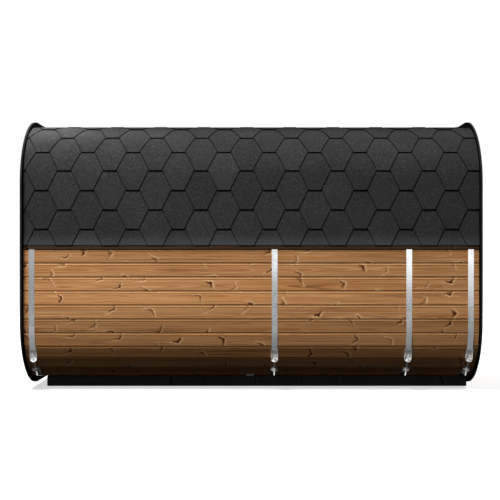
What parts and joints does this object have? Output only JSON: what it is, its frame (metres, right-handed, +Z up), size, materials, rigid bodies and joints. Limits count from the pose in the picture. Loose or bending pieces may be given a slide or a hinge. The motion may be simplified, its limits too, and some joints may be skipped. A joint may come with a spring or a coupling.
{
  "type": "outdoor cabin sauna",
  "caption": "Rounded square timber tube of horizontal staves on two beams, strapped in steel, shingled over its upper half, with end walls, a boarded door and an open porch.",
  "frame": {"origin": "on the ground, under the middle of the cabin, at the bottom centre of its bounding box", "axes": "+X along the cabin towards the porch, +Y across it towards the far side, +Z up"},
  "size_m": [4, 2.4, 2.435],
  "materials": {
    "thermowood": "planed and oiled",
    "black_wood": "black stained, matt",
    "black_trim": "black painted, satin",
    "dark_brown_wood": "dark brown stained, matt",
    "shingle": "mineral granules, matt",
    "stainless_steel": "brushed",
    "black_steel": "black powder coat, matt"
  },
  "bodies": {
    "root": {"base_beam_near": "black_wood", "base_beam_far": "black_wood", "beam_clip_near": "stainless_steel", "beam_clip_far": "stainless_steel", "floor_staves": "thermowood", "near_side_staves": "thermowood", "far_side_staves": "thermowood", "ceiling_staves": "thermowood", "near_bottom_corner": "thermowood", "far_bottom_corner": "thermowood", "near_top_corner": "thermowood", "far_top_corner": "thermowood", "rear_trim": "black_trim", "front_trim": "black_trim", "rear_wall": "thermowood", "front_wall_near": "thermowood", "front_wall_far": "thermowood", "front_wall_over_door": "thermowood", "door_frame": "thermowood", "door_threshold": "thermowood", "door_leaf": "thermowood", "door_handles": "black_steel", "door_hinges": "black_steel", "roofing_near": "shingle", "roofing_top": "shingle", "roofing_far": "shingle", "eave_strip_near": "dark_brown_wood", "eave_strip_far": "dark_brown_wood", "rear_upper_strap": "stainless_steel", "rear_lower_strap": "stainless_steel", "middle_upper_strap": "stainless_steel", "middle_lower_strap": "stainless_steel", "porch_upper_strap": "stainless_steel", "porch_lower_strap": "stainless_steel", "front_upper_strap": "stainless_steel", "front_lower_strap": "stainless_steel", "strap_lugs_near": "stainless_steel", "strap_lugs_far": "stainless_steel", "tension_rods_near": "stainless_steel", "tension_rods_far": "stainless_steel", "tension_nuts_near": "stainless_steel", "tension_nuts_far": "stainless_steel"}
  },
  "joints": []
}
